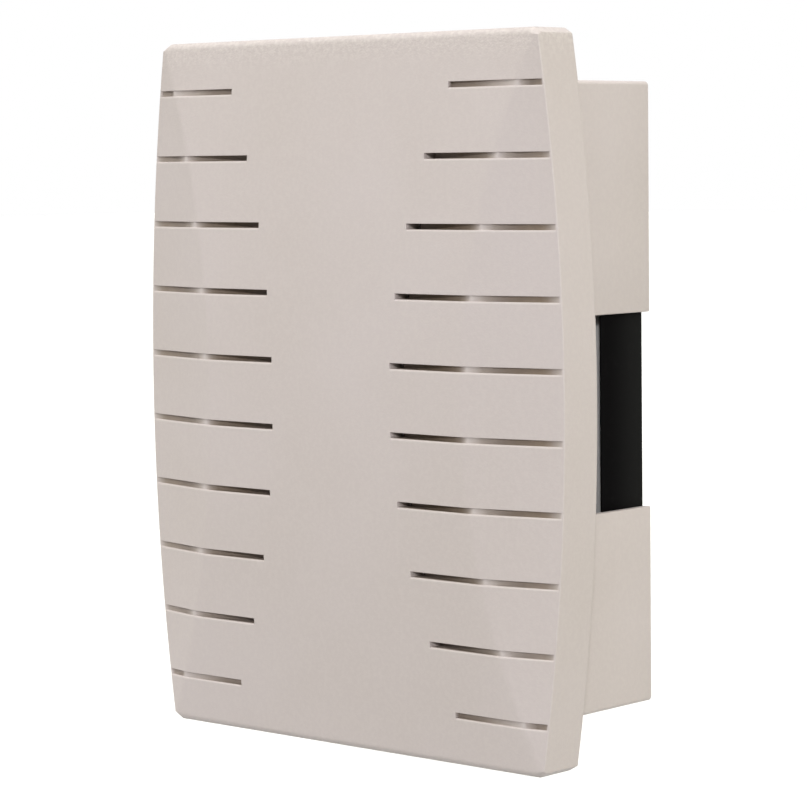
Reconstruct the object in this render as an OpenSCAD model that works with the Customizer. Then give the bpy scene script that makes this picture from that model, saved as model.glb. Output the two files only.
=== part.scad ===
// Two-note door chime. A cover pulls off a base tray, which carries two tone bars on rubber
// grommets, two solenoids with sprung plungers that strike the bars, and a terminal block.
// The wall is the plane y = 0, the front faces -Y and z points up. All sizes are in millimetres.

/* [Cover plate] */
// Height of the front plate
plate_h = 190; // [180:1:210]
// Width of the front plate along its straight top and bottom edges
plate_w = 134.4; // [130:0.2:150]
// How far each side edge of the plate bows out at mid height
side_bow = 7.4; // [4:0.2:10]
// How far the middle of the front stands forward of the top and bottom edges
front_bow = 5.8; // [3:0.2:8]
// Angle between a side wing of the front and the wall
wing_angle = 12.4; // [10:0.2:16]
// How far a wing bows forward along its height
wing_bow = 1; // [0.4:0.1:2]
// Depth of the rim behind the plate's straight edges
rim_depth = 14; // [8:0.2:20]
// Radius of the plate's four corners
plate_corner_r = 2.2; // [1:0.1:4]
// Wall thickness of the cover
cover_wall = 2.1; // [1.6:0.1:2.6]

/* [Cover box] */
// Width of the box behind the plate
box_w = 117; // [112:0.5:122]
// Height of the box behind the plate
box_h = 166; // [160:0.5:170]
// How far the middle of the box lies below the middle of the plate
box_drop = 0.8; // [0:0.1:3]
// Outer corner radius of the box
box_corner_r = 1.2; // [0.6:0.1:3]
// Distance from the wall to the plate's straight edges
cover_depth = 57.4; // [55:0.2:70]
// Gap between the wall and the cover's back edge
wall_gap = 0.4; // [0.2:0.1:1]
// Height of the opening in each side of the box
notch_h = 52.2; // [30:0.2:70]
// How far the middle of the side openings lies below the middle of the plate
notch_drop = 5; // [0:0.5:15]
// How far the side openings reach forward from the wall
notch_depth = 29; // [20:0.5:38]

/* [Slots] */
// Number of slots on each side of the front
slot_count = 10; // [4:1:10]
// Distance between slots
slot_pitch = 18.08; // [16:0.02:18.5]
// Height of a slot
slot_h = 1.48; // [1:0.02:2.4]
// Distance from the centre line to the inner end of a slot at mid height
slot_inner = 21.2; // [15:0.2:26]
// How much further out the inner ends would lie at the plate's top edge
slot_inner_rise = 24.5; // [10:0.5:27]
// Depth of an open slot at its inner end
slot_depth = 4.5; // [3:0.1:6]
// Length of the opening at the inner end of an open slot
slot_open = 1.2; // [0.8:0.1:4]
// Wall thickness of the ramps behind the open slots
ramp_wall = 1; // [0.6:0.1:1.5]
// Depth of a slot that ends in the wall of the box
blind_depth = 1.5; // [0.8:0.1:1.5]
// Depth of a slot where it crosses the crease beside the wing
crease_depth = 0.25; // [0.1:0.05:0.6]
// Greatest depth of a slot across the wing
groove_depth = 1.2; // [0.5:0.1:1.5]
// Place of that greatest depth, as a share of the way from crease to side edge
groove_place = 0.35; // [0.2:0.05:0.6]
// Depth of a slot at the plate's side edge
edge_depth = 0.15; // [0.05:0.05:0.4]

/* [Base tray] */
// Clearance between the cover and the tray
cover_gap = 0.4; // [0.3:0.05:0.8]
// Clearance between the cover and the ribs that grip it
rib_gap = 0.05; // [0.02:0.01:0.1]
// Thickness of the tray's floor
tray_floor = 2.5; // [1.8:0.1:3.5]
// Thickness of the tray's walls
tray_wall = 2; // [1.5:0.1:2.5]
// Height of the tray's walls from the wall of the house
tray_wall_h = 18.4; // [12:0.2:24]
// Thickness of the tray's side walls at their front edge
tray_lip = 0.4; // [0.4:0.1:1.5]
// Depth over which the side walls narrow to that edge
tray_bevel = 4.5; // [3:0.1:8]
// Radius of the tray's back edges
tray_edge_r = 1.1; // [0.5:0.1:1.5]
// Diameter of the holes for the wall screws
wall_hole_d = 4.8; // [4:0.1:6]
// Distance between wall screws across the tray
wall_hole_x = 68; // [64:1:72]
// Distance between wall screws up the tray
wall_hole_z = 132; // [128:1:140]
// Diameter of the bosses round the wall screws
wall_boss_d = 11; // [9:0.5:12]
// Height of those bosses above the tray's floor
wall_boss_h = 3; // [1:0.5:6]
// Diameter of the hole for the house wires
wire_hole_d = 17; // [12:0.5:18]
// How far the middle of the wire hole lies above the middle of the terminal block
wire_hole_rise = 19; // [18:0.5:21]

/* [Tone bars] */
// Length of the low-note bar
left_bar_l = 134; // [126:1:142]
// Length of the high-note bar
right_bar_l = 118; // [112:1:128]
// Width of a bar
bar_w = 28; // [24:0.5:30]
// Thickness of a bar
bar_t = 2.6; // [2:0.1:3.2]
// Gap between a bar and the tray's side wall
bar_gap = 2; // [1.2:0.1:2.5]
// Distance from the wall to the middle of the bars and the axes of the plungers
strike_d = 26.4; // [25.5:0.1:30]
// Distance of a bar's hangers from its ends, as a share of its length
hanger_place = 0.224; // [0.2:0.002:0.25]
// Diameter of the hanger holes in the bars
bar_hole_d = 8; // [7:0.1:9]

/* [Hangers] */
// Diameter of a grommet's flanges
grommet_d = 12; // [11:0.5:14]
// Thickness of a grommet's flanges
grommet_flange = 1.6; // [1:0.1:1.8]
// Diameter of a hanger screw's shank
hanger_screw_d = 3.5; // [3:0.1:4]
// Diameter of a hanger screw's head
hanger_head_d = 8; // [6.5:0.1:9]
// Thickness of a hanger screw's head
hanger_head_t = 1.8; // [1.4:0.1:2.2]
// Depth that a hanger screw goes into its post
hanger_grip = 7; // [4:0.5:8]
// Width of a hanger post up the tray
post_w = 13; // [12:0.5:16]
// Thickness of a hanger post
post_t = 9; // [8:0.5:10]

/* [Solenoids] */
// Distance between the axes of the two plungers
unit_pitch = 36; // [34:0.5:37]
// Length of a bobbin between the ears of its yoke
bobbin_l = 34; // [30:0.5:36]
// Diameter of a bobbin's flanges
bobbin_d = 24.4; // [23.6:0.2:25]
// Thickness of a bobbin's flanges
bobbin_flange = 1.5; // [1:0.1:2]
// Outer diameter of a bobbin's tube
bobbin_tube_d = 11; // [10.4:0.1:12]
// Length of a bobbin's tube beyond the yoke
bobbin_nose = 2; // [1:0.1:2.5]
// Outer diameter of a coil
coil_d = 23; // [20:0.2:23.2]
// Thickness of a yoke's steel
yoke_t = 1.5; // [1:0.1:2]
// Width of a yoke's ears up the tray
ear_w = 23; // [20:0.5:24]
// Length of a yoke's ears beyond the plunger's axis
ear_reach = 9; // [7.5:0.5:12]
// Width of a yoke's base up the tray
yoke_w = 16; // [14:0.5:18]
// Length of a yoke's feet
foot_l = 11; // [10:0.5:11.5]
// Gap between a bobbin's flanges and the base of its yoke
bobbin_gap = 0.4; // [0.2:0.1:1]
// Diameter of a yoke screw's shank
yoke_screw_d = 3; // [2.5:0.1:3.5]
// Diameter of a yoke screw's head
yoke_head_d = 6; // [5:0.1:6.6]
// Thickness of a yoke screw's head
yoke_head_t = 1.8; // [1.4:0.1:2.2]
// Diameter of the tray's pillars under the yokes
pillar_d = 9; // [7:0.5:10]

/* [Plungers] */
// Diameter of a plunger
plunger_d = 8; // [7.4:0.1:8.4]
// Length of a plunger's steel core
plunger_l = 40; // [36:0.5:42]
// How far a core rests to the left of the middle of its coil
plunger_lag = 9.5; // [8:0.5:11]
// Diameter of the tips
tip_d = 6; // [5:0.1:6.6]
// Diameter of the pins that hold the tips in the core
tip_pin_d = 3; // [2:0.1:3.6]
// Length of those pins
tip_pin_l = 5; // [3:0.5:8]
// Gap between the front plunger and the left bar at rest
front_rest_gap = 3; // [2:0.1:5]
// Travel of both plungers from rest to the right bar
stroke = 9; // [6:0.1:10]
// Gap left between a tip and a bar at the end of the travel
strike_gap = 0.3; // [0.2:0.05:0.5]
// Clearance between a core and its bobbin
running_gap = 0.06; // [0.02:0.01:0.1]

/* [Springs] */
// Distance from the rear plunger's left end to its spring clip
clip_inset = 6; // [5:0.1:8]
// Mean diameter of a spring's turns
spring_d = 9.8; // [9.6:0.1:10.2]
// Diameter of a spring's wire
spring_wire = 0.7; // [0.5:0.05:0.9]
// Number of turns in a spring
spring_turns = 8; // [5:1:9]
// Outer diameter of the clips that hold the springs
clip_d = 12.4; // [11.6:0.2:13]
// Thickness of those clips
clip_t = 1; // [0.6:0.1:1.4]
// Depth of the groove that a clip sits in
clip_groove = 0.7; // [0.4:0.1:1]

/* [Bumper] */
// Thickness of the felt pad that the rear plunger rests on
bumper_t = 2.3; // [1.5:0.1:3]
// Diameter of the felt pad
bumper_d = 9; // [7:0.5:11]
// Thickness of the stop that carries the pad
stop_t = 2.4; // [2:0.1:3]
// How much wider the stop is than the pad
stop_margin = 3; // [2:0.5:5]
// Gap between the stop and the left bar
stop_gap = 1.4; // [1:0.1:2]

/* [Terminals] */
// Width of the terminal block
block_w = 54; // [52:0.5:55]
// Height of the terminal block up the tray
block_h = 14; // [12:0.5:15]
// Thickness of the terminal block
block_t = 11.5; // [10:0.5:14]
// Distance from the bottom of the cover's box to the middle of the block
block_inset = 20.8; // [18:0.2:24]
// Distance between terminals
terminal_pitch = 17; // [16:0.5:18]
// Width of a terminal plate
terminal_w = 12.6; // [10:0.2:13.4]
// Thickness of a terminal plate
terminal_t = 0.8; // [0.5:0.1:1.2]
// Width of the solder tab of a terminal plate
tab_w = 5.4; // [5:0.1:7]
// Length of that tab above the block
tab_l = 4; // [3:0.1:5]
// Thickness of the walls between terminals
barrier_t = 1.6; // [1:0.1:2]
// Height of those walls above the block
barrier_h = 4.5; // [2:0.5:7]
// Diameter of a terminal screw's shank
terminal_screw_d = 3.2; // [2.8:0.1:3.6]
// Depth of a terminal screw in the block
terminal_grip = 8; // [5:0.5:9]
// Diameter of a terminal screw's head
terminal_head_d = 7.2; // [6:0.1:8]
// Thickness of a terminal screw's head
terminal_head_t = 2.2; // [1.8:0.1:2.6]
// Diameter of the tray's pegs that hold the block
peg_d = 3; // [2.4:0.1:3.6]
// Length of those pegs above the tray's floor
peg_l = 6; // [4:0.5:8]

/* [Leads] */
// Diameter of an insulated lead
lead_d = 1.2; // [0.8:0.1:1.4]
// Gap between a lead and the tray's floor
lead_gap = 0.3; // [0.2:0.1:1]

/* [Fits] */
// Clearance between a fixed piece and the hole that it sits in
fit_gap = 0.05; // [0.02:0.01:0.1]
// Width of the slots in the screw heads
driver_w = 1; // [0.8:0.1:1.2]
// Depth of the slots in the screw heads
driver_depth = 0.9; // [0.6:0.1:1.1]

/* [Hidden] */
$fn = 48;
wide_fn = 1440;
over = 1;

half_h = plate_h / 2;
half_w = plate_w / 2;
rim_back = cover_depth - rim_depth;
front_d = cover_depth + front_bow;
side_r = arc_r(side_bow);
side_x = half_w + side_bow - side_r;
corner_lap = 0.02;
slot_span = (slot_count - 1) * slot_pitch;

tray_inset = cover_wall + cover_gap;
tray_x = box_w / 2 - tray_inset;
tray_half_h = box_h / 2 - tray_inset;
rib_w = 1.5;
rib_l = 10;
rib_x = 30;

bar_out = tray_x - tray_wall - bar_gap;
bar_in = bar_out - bar_t;
post_x = bar_in - grommet_flange;
post_d = strike_d + post_w / 2;
stop_w = bumper_d + stop_margin;
stop_x = bar_in - stop_gap;
bumper_x = stop_x - stop_t;

front_z = unit_pitch / 2;
rear_z = -unit_pitch / 2;
ear_in = bobbin_l / 2;
ear_out = ear_in + yoke_t;
nose_x = ear_out + bobbin_nose;
yoke_d = strike_d - bobbin_d / 2 - bobbin_gap - yoke_t;
foot_screw_x = ear_out + foot_l - yoke_head_d / 2 - fit_gap;
pillar_grip = yoke_d - tray_floor;
lead_tab = 3;
lead_tab_x = ear_in - lead_tab / 2;
lead_tab_drop = bobbin_d / 2 + lead_tab - 0.2;

core_left = -plunger_lag - plunger_l / 2;
core_right = -plunger_lag + plunger_l / 2;
front_left_x = front_rest_gap - bar_in;
rear_left_x = strike_gap - bumper_x + bumper_t;
right_x = bar_in - strike_gap - stroke;
clip_x = rear_left_x + clip_inset;
spring_l = -nose_x - clip_x;

block_drop = box_h / 2 + box_drop - block_inset;
wire_hole_drop = block_drop - wire_hole_rise;
block_top = -block_drop + block_h / 2;
block_d = tray_floor + block_t;
terminal_z = -block_drop - 0.5;
peg_x = terminal_pitch / 2;

solder_z = block_top + tab_l / 2;
lane_x = (foot_screw_x + pillar_d / 2 + post_x - post_t) / 2;
lane_d = tray_floor + lead_gap + lead_d / 2;

// Hand-chosen routes of the four coil leads. The shares at each point run across from the bobbin's tab to
// the lane beside the pillars (1) and on to the terminal (2), back from the plunger's axis to the tray's
// floor (1), and down from the bobbin's tab to the solder tab (1). The rear leads have no lane.
front_left_route = [
    [0, 0.04, 0.044], [0.03, 0.19, 0.061], [0.09, 0.45, 0.061], [0.2, 0.71, 0.061], [0.43, 0.91, 0.07],
    [0.71, 0.99, 0.105], [0.94, 1, 0.211], [1, 1, 0.368], [1, 1, 0.579], [1, 1, 0.789], [1.09, 1, 0.895],
    [1.31, 1, 0.965], [1.62, 0.987, 0.996], [1.88, 0.909, 1]
];
front_right_route = [
    [0, 0.04, 0.044], [0.03, 0.19, 0.061], [0.09, 0.45, 0.061], [0.2, 0.71, 0.061], [0.43, 0.91, 0.07],
    [0.71, 0.99, 0.105], [0.94, 1, 0.211], [1, 1, 0.368], [1, 1, 0.579], [1, 1, 0.789], [1.05, 1, 0.895],
    [1.19, 1, 0.965], [1.41, 1, 0.99], [1.66, 1, 0.993], [1.85, 0.99, 0.996], [1.96, 0.91, 1]
];
rear_left_route = [
    [0.035, 0.061, 0.19], [0.077, 0.235, 0.381], [0.147, 0.496, 0.571], [0.273, 0.73, 0.762],
    [0.483, 0.887, 0.924], [0.734, 0.939, 0.99], [0.916, 0.896, 1]
];
rear_right_route = [
    [0.067, 0.061, 0.19], [0.2, 0.235, 0.381], [0.467, 0.496, 0.571], [0.733, 0.713, 0.743],
    [0.867, 0.835, 0.876], [1, 0.878, 0.971]
];

// Radius of an arc with a chord as long as the plate's height
function arc_r(sag) = (half_h * half_h + sag * sag) / (2 * sag);
// Height of that arc above its chord at height z
function arc_at(sag, z) = sag - arc_r(sag) + sqrt(arc_r(sag) * arc_r(sag) - z * z);

function front_y(z) = -cover_depth - arc_at(front_bow, z);
function wing_fall(z) = arc_at(wing_bow, z) / cos(wing_angle);
function wing_y(x, z) = -cover_depth + (x - half_w) * tan(wing_angle) - wing_fall(z);
function crease_x(z) = half_w + (front_y(z) + cover_depth + wing_fall(z)) / tan(wing_angle);
function edge_x(z) = half_w + arc_at(side_bow, z);
function slot_inner_x(z) = slot_inner + slot_inner_rise * pow(z / half_h, 2);
function meets_box_wall(z) = abs(z + box_drop) > box_h / 2 - cover_wall - slot_h;
function slot_floor(z) = meets_box_wall(z) ? blind_depth : slot_depth;

function hanger_z(bar_l) = bar_l * (0.5 - hanger_place);
function unit(v) = v / norm(v);
function between(a, b, share) = a + share * (b - a);
function across(share, x0, x1, x2) = share < 1 ? between(x0, x1, share) : between(x1, x2, share - 1);

// Direction of a route at point i
function heading(p, i) = unit(p[min(i + 1, len(p) - 1)] - p[max(i - 1, 0)]);
// A vector square to each heading, carried along the route so that the tube doesn't twist
function square_to(v, t) = unit(v - (v * t) * t);
function carried(p, first) = [
    for (i = 0, v = square_to(first, heading(p, 0)); i < len(p);
         i = i + 1, v = i < len(p) ? square_to(v, heading(p, i)) : v) v
];
function ring(c, t, v, r, sides) = [
    for (k = [0 : sides - 1])
        c + r * (cos(360 * k / sides) * v + sin(360 * k / sides) * cross(t, v))
];

// Least distance between points of a route that are at least skip points apart
function least_gap(p, skip) = min([
    for (i = [0 : len(p) - 1 - skip], j = [i + skip : len(p) - 1]) norm(p[i] - p[j])
]);

// A closed tube of triangles along the points p
module tube(p, r, sides, first) {
    v = carried(p, first);
    rings = [for (i = [0 : len(p) - 1]) each ring(p[i], heading(p, i), v[i], r, sides)];
    last = (len(p) - 1) * sides;
    walls = [
        for (i = [0 : len(p) - 2], k = [0 : sides - 1])
            let (a = i * sides + k, b = i * sides + (k + 1) % sides)
            each [[a, a + sides, b], [b, a + sides, b + sides]]
    ];
    start_cap = [for (k = [1 : sides - 2]) [0, k, k + 1]];
    end_cap = [for (k = [1 : sides - 2]) [last, last + k + 1, last + k]];
    polyhedron(points = rings, faces = concat(walls, start_cap, end_cap));
}

// Extrudes an outline in x and z between two distances from the wall
module slab(near, far) {
    translate([0, -near, 0])
        rotate([90, 0, 0])
            linear_extrude(far - near)
                children();
}

// A round bar along x
module rod(x0, x1, d) {
    translate([x0, 0, 0])
        rotate([0, 90, 0])
            cylinder(d = d, h = x1 - x0);
}

// Places children on a plunger's axis
module on_axis(z) {
    translate([0, -strike_d, z])
        children();
}

module rounded(w, h, r) {
    square([w, h - 2 * r], center = true);
    square([w - 2 * r, h], center = true);
    for (x = [-1, 1], y = [-1, 1])
        translate([x * (w / 2 - r), y * (h / 2 - r)])
            circle(r = r);
}

// Profile of a tray whose two back corners are round, with the wall at v = 0
module round_backed(w, h, r) {
    translate([-w / 2, r])
        square([w, h - r]);
    translate([-w / 2 + r, 0])
        square([w - 2 * r, h]);
    for (x = [-1, 1])
        translate([x * (w / 2 - r), r])
            circle(r = r);
}

// A screw along -z with its head above z = 0, slotted for a driver
module screw(shank_d, shank_l, head_d, head_t) {
    translate([0, 0, -shank_l])
        cylinder(d = shank_d, h = shank_l + head_t / 2);
    difference() {
        cylinder(d = head_d, h = head_t);
        translate([-head_d / 2 - over, -driver_w / 2, head_t - driver_depth])
            cube([head_d + 2 * over, driver_w, driver_depth + over]);
    }
}

module plate_outline(inset) {
    intersection() {
        square([plate_w + 2 * side_bow, plate_h - 2 * inset], center = true);
        translate([side_x, 0])
            circle(r = side_r - inset, $fn = wide_fn);
        translate([-side_x, 0])
            circle(r = side_r - inset, $fn = wide_fn);
    }
}

module box_outline(inset) {
    translate([0, -box_drop])
        rounded(box_w - 2 * inset, box_h - 2 * inset, max(box_corner_r - inset, 0.4));
}

// A wide block whose front bows out along its height, with the ends of the bow at y = 0
module bow_form(sag, inset) {
    r = arc_r(sag);
    rotate([90, 0, 90])
        linear_extrude(4 * plate_w, center = true)
            intersection() {
                translate([r - sag, 0])
                    circle(r = r - inset, $fn = wide_fn);
                translate([-sag - over, -half_h - over])
                    square([2 * plate_w, plate_h + 2 * over]);
            }
}

// Everything behind the wing on one side
module wing_form(side, inset) {
    mirror([side < 0 ? 1 : 0, 0, 0])
        translate([half_w, -cover_depth, 0])
            rotate([0, 0, wing_angle])
                bow_form(wing_bow, inset);
}

// The solid shape of the plate, moved in by inset, from a distance near the wall to its front
module plate_form(inset, near) {
    intersection() {
        slab(near, front_d + over)
            plate_outline(inset);
        translate([0, -cover_depth, 0])
            bow_form(front_bow, inset);
        wing_form(1, inset);
        wing_form(-1, inset);
    }
}

// What is left outside the plate's round corner at +x and +z; the round crosses the edges by a small lap
module corner_cut() {
    reach = plate_corner_r - corner_lap;
    c = [side_x + sqrt(pow(side_r - reach, 2) - pow(half_h - reach, 2)), half_h - reach];
    outward = unit(c - [side_x, 0]);
    far = reach + over;
    slab(rim_back - over, front_d + over)
        difference() {
            polygon([c, c + [0, far], c + [far, far] + over * outward, c + far * outward]);
            translate(c)
                circle(r = plate_corner_r);
        }
}

// The wall of the ramp behind an open slot on the +x side
module ramp(z) {
    x_in = slot_inner_x(z);
    x_crease = crease_x(z);
    y_in_wall = front_y(z) + cover_wall / 2;
    translate([0, 0, z - slot_h / 2 - ramp_wall])
        linear_extrude(slot_h + 2 * ramp_wall)
            polygon([
                [x_in - ramp_wall, y_in_wall],
                [x_in - ramp_wall, front_y(z) + slot_depth + ramp_wall],
                [x_in, front_y(z) + slot_depth + ramp_wall],
                [x_crease, front_y(z) + crease_depth + ramp_wall],
                [x_crease, y_in_wall]
            ]);
}

// The opening at the inner end of an open slot on the +x side
module ramp_opening(z) {
    y_open = front_y(z) - 2 * over;
    translate([slot_inner_x(z), y_open, z - slot_h / 2])
        cube([slot_open, slot_depth + ramp_wall + 3 * over, slot_h]);
}

// A slot on the +x side, open towards the front
module slot(z) {
    x_in = slot_inner_x(z);
    x_crease = crease_x(z);
    x_out = edge_x(z) + over;
    x_groove = x_crease + groove_place * (x_out - x_crease);
    y_open = front_y(z) - 2 * over;
    translate([0, 0, z - slot_h / 2])
        linear_extrude(slot_h)
            polygon([
                [x_in, y_open],
                [x_in, front_y(z) + slot_floor(z)],
                [x_crease, front_y(z) + crease_depth],
                [x_groove, wing_y(x_groove, z) + groove_depth],
                [x_out, wing_y(x_out, z) + edge_depth],
                [x_out, y_open]
            ]);
}

// Repeats children at the height of each slot on both sides, the blind ones too where all is true
module at_slots(all) {
    for (side = [0, 1], z = [-slot_span / 2 : slot_pitch : slot_span / 2 + 0.1])
        if (all || !meets_box_wall(z))
            mirror([side, 0, 0]) {
                $slot_z = z;
                children();
            }
}

module cover_shell() {
    difference() {
        union() {
            plate_form(0, rim_back);
            intersection() {
                slab(wall_gap, front_d)
                    box_outline(0);
                plate_form(cover_wall / 2, wall_gap);
            }
        }
        intersection() {
            slab(wall_gap - over, front_d)
                box_outline(cover_wall);
            plate_form(cover_wall, wall_gap - over);
        }
        difference() {
            plate_form(cover_wall, rim_back - over);
            slab(0, front_d + over)
                box_outline(0);
        }
    }
}

module cover() {
    color([0.8, 0.765, 0.74])
        difference() {
            union() {
                cover_shell();
                at_slots(false)
                    ramp($slot_z);
            }
            translate([-box_w / 2 - over, -notch_depth, -notch_drop - notch_h / 2])
                cube([box_w + 2 * over, notch_depth, notch_h]);
            at_slots(true)
                slot($slot_z);
            at_slots(false)
                ramp_opening($slot_z);
            for (x = [0, 1], z = [0, 1])
                mirror([x, 0, 0])
                    mirror([0, 0, z])
                        corner_cut();
        }
}

// Narrows a side wall of the tray from inside, towards its front edge
module side_bevel() {
    x_in = tray_x - tray_wall;
    x_lip = tray_x - tray_lip;
    translate([0, 0, -box_drop])
        linear_extrude(2 * (tray_half_h - tray_wall - over), center = true)
            polygon([
                [x_in - over, tray_bevel - tray_wall_h],
                [x_in, tray_bevel - tray_wall_h],
                [x_lip, -tray_wall_h],
                [x_lip, -tray_wall_h - over],
                [x_in - over, -tray_wall_h - over]
            ]);
}

module tray_shell() {
    difference() {
        intersection() {
            slab(0, tray_wall_h)
                box_outline(tray_inset);
            translate([0, 0, -box_drop - tray_half_h])
                linear_extrude(2 * tray_half_h)
                    mirror([0, 1])
                        round_backed(2 * tray_x, tray_wall_h + over, tray_edge_r);
            translate([-tray_x, 0, -box_drop])
                rotate([0, 0, 180])
                    rotate([0, -90, 0])
                        linear_extrude(2 * tray_x)
                            round_backed(2 * tray_half_h, tray_wall_h + over, tray_edge_r);
        }
        slab(tray_floor, tray_wall_h + over)
            box_outline(tray_inset + tray_wall);
        for (side = [0, 1])
            mirror([side, 0, 0])
                side_bevel();
    }
}

// Places children at each hanger of both bars, with x pointing out of the tray
module at_hangers() {
    for (i = [0, 1], end = [-1, 1])
        mirror([i, 0, 0])
            on_axis(end * hanger_z(i == 1 ? left_bar_l : right_bar_l))
                children();
}

module at_yoke_screws() {
    for (z = [front_z, rear_z], side = [-1, 1])
        translate([side * foot_screw_x, 0, z])
            children();
}

module at_wall_screws() {
    for (x = [-1, 1], z = [-1, 1])
        translate([x * wall_hole_x / 2, 0, z * wall_hole_z / 2])
            children();
}

module at_terminals() {
    for (i = [-1 : 1])
        translate([i * terminal_pitch, 0, 0])
            children();
}

module at_pegs() {
    for (side = [-1, 1])
        translate([side * peg_x, 0, -block_drop])
            children();
}

// Ribs on the tray's top and bottom that grip the cover
module grip_ribs() {
    for (x = [-1, 1], z = [-1, 1])
        translate([x * rib_x - rib_w / 2, -tray_wall_h + rib_w, -box_drop + z * tray_half_h])
            translate([0, 0, z > 0 ? -tray_wall / 2 : rib_gap - cover_gap])
                cube([rib_w, rib_l, tray_wall / 2 + cover_gap - rib_gap]);
}

module base_tray() {
    color([0.05, 0.05, 0.055])
        difference() {
            union() {
                tray_shell();
                grip_ribs();
                at_wall_screws()
                    slab(tray_floor / 2, tray_floor + wall_boss_h)
                        circle(d = wall_boss_d);
                at_yoke_screws()
                    slab(tray_floor / 2, yoke_d)
                        circle(d = pillar_d);
                at_pegs()
                    slab(tray_floor / 2, tray_floor + peg_l)
                        circle(d = peg_d);
                at_hangers()
                    translate([post_x - post_t, strike_d - post_d, -post_w / 2])
                        cube([post_t, post_d - tray_floor / 2, post_w]);
                on_axis(rear_z)
                    translate([-stop_x, -stop_w / 2, -stop_w / 2])
                        cube([stop_t, strike_d - tray_floor / 2 + stop_w / 2, stop_w]);
            }
            at_wall_screws()
                slab(-over, tray_floor + wall_boss_h + over)
                    circle(d = wall_hole_d);
            translate([0, 0, -wire_hole_drop])
                slab(-over, tray_floor + over)
                    circle(d = wire_hole_d);
            at_hangers()
                rod(post_x - hanger_grip - fit_gap, post_x + over, hanger_screw_d + 2 * fit_gap);
            at_yoke_screws()
                slab(yoke_d - pillar_grip + fit_gap, yoke_d + over)
                    circle(d = yoke_screw_d + 2 * fit_gap);
        }
}

module tone_bar(bar_l) {
    difference() {
        on_axis(0)
            translate([bar_in, -bar_w / 2, -bar_l / 2])
                cube([bar_t, bar_w, bar_l]);
        for (end = [-1, 1])
            on_axis(end * hanger_z(bar_l))
                rod(bar_in - over, bar_out + over, bar_hole_d);
    }
}

module left_tone_bar() {
    color([0.62, 0.62, 0.64])
        mirror([1, 0, 0])
            tone_bar(left_bar_l);
}

module right_tone_bar() {
    color([0.62, 0.62, 0.64])
        tone_bar(right_bar_l);
}

module tone_bar_grommets() {
    color([0.12, 0.12, 0.12])
        at_hangers()
            difference() {
                union() {
                    rod(post_x, bar_in, grommet_d);
                    rod(post_x, bar_out + grommet_flange, bar_hole_d - 2 * fit_gap);
                    rod(bar_out, bar_out + grommet_flange, grommet_d);
                }
                rod(post_x - over, bar_out + grommet_flange + over, hanger_screw_d + 2 * fit_gap);
            }
}

module tone_bar_screws() {
    color([0.7, 0.68, 0.62])
        at_hangers()
            translate([bar_out + grommet_flange, 0, 0])
                rotate([0, 90, 0])
                    screw(hanger_screw_d, bar_out + grommet_flange - post_x + hanger_grip,
                          hanger_head_d, hanger_head_t);
}

module yoke(z) {
    difference() {
        union() {
            translate([-ear_out - foot_l, -yoke_d - yoke_t, z - yoke_w / 2])
                cube([2 * (ear_out + foot_l), yoke_t, yoke_w]);
            for (side = [0, 1])
                mirror([side, 0, 0])
                    translate([ear_in, -strike_d - ear_reach, z - ear_w / 2])
                        cube([yoke_t, strike_d + ear_reach - yoke_d, ear_w]);
        }
        on_axis(z)
            rod(-ear_out - over, ear_out + over, bobbin_tube_d + 2 * fit_gap);
        for (side = [-1, 1])
            translate([side * foot_screw_x, 0, z])
                slab(yoke_d - over, yoke_d + yoke_t + over)
                    circle(d = yoke_screw_d + 2 * fit_gap);
    }
}

module bobbin(z) {
    on_axis(z)
        difference() {
            union() {
                rod(-nose_x, nose_x, bobbin_tube_d);
                for (side = [0, 1])
                    mirror([side, 0, 0]) {
                        rod(ear_in - bobbin_flange, ear_in, bobbin_d);
                        translate([ear_in - lead_tab, -lead_tab / 2, -lead_tab_drop])
                            cube([lead_tab, lead_tab, lead_tab]);
                    }
            }
            rod(-nose_x - over, nose_x + over, plunger_d + 2 * running_gap);
        }
}

module coil(z) {
    on_axis(z)
        difference() {
            rod(bobbin_flange - ear_in, ear_in - bobbin_flange, coil_d);
            rod(-ear_in, ear_in, bobbin_tube_d + 2 * fit_gap);
        }
}

module plunger_core(z) {
    on_axis(z)
        difference() {
            rod(core_left, core_right, plunger_d);
            rod(core_left - over, core_left + tip_pin_l + fit_gap, tip_pin_d + 2 * fit_gap);
            rod(core_right - tip_pin_l - fit_gap, core_right + over, tip_pin_d + 2 * fit_gap);
        }
}

// A round-nosed tip that reaches x_end on the left of the core, with a groove for the spring clip
module left_tip(z, x_end) {
    on_axis(z)
        difference() {
            union() {
                rod(x_end + tip_d / 2, core_left, tip_d);
                translate([x_end + tip_d / 2, 0, 0])
                    sphere(d = tip_d);
                rod(core_left - over, core_left + tip_pin_l, tip_pin_d);
            }
            difference() {
                rod(clip_x - clip_t - fit_gap, clip_x, tip_d + over);
                rod(clip_x - clip_t - over, clip_x + over, tip_d - 2 * clip_groove);
            }
        }
}

module right_tip(z) {
    on_axis(z) {
        rod(core_right, right_x - tip_d / 2, tip_d);
        translate([right_x - tip_d / 2, 0, 0])
            sphere(d = tip_d);
        rod(core_right - tip_pin_l, core_right + over, tip_pin_d);
    }
}

// A clip with an open side, pushed into the groove of a left tip
module spring_clip(z) {
    on_axis(z)
        difference() {
            rod(clip_x - clip_t, clip_x, clip_d);
            rod(clip_x - clip_t - over, clip_x + over, tip_d - 2 * clip_groove + 2 * fit_gap);
            translate([clip_x - clip_t - over, -clip_d, -tip_d / 2 + clip_groove])
                cube([clip_t + 2 * over, clip_d, tip_d - 2 * clip_groove]);
        }
}

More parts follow.
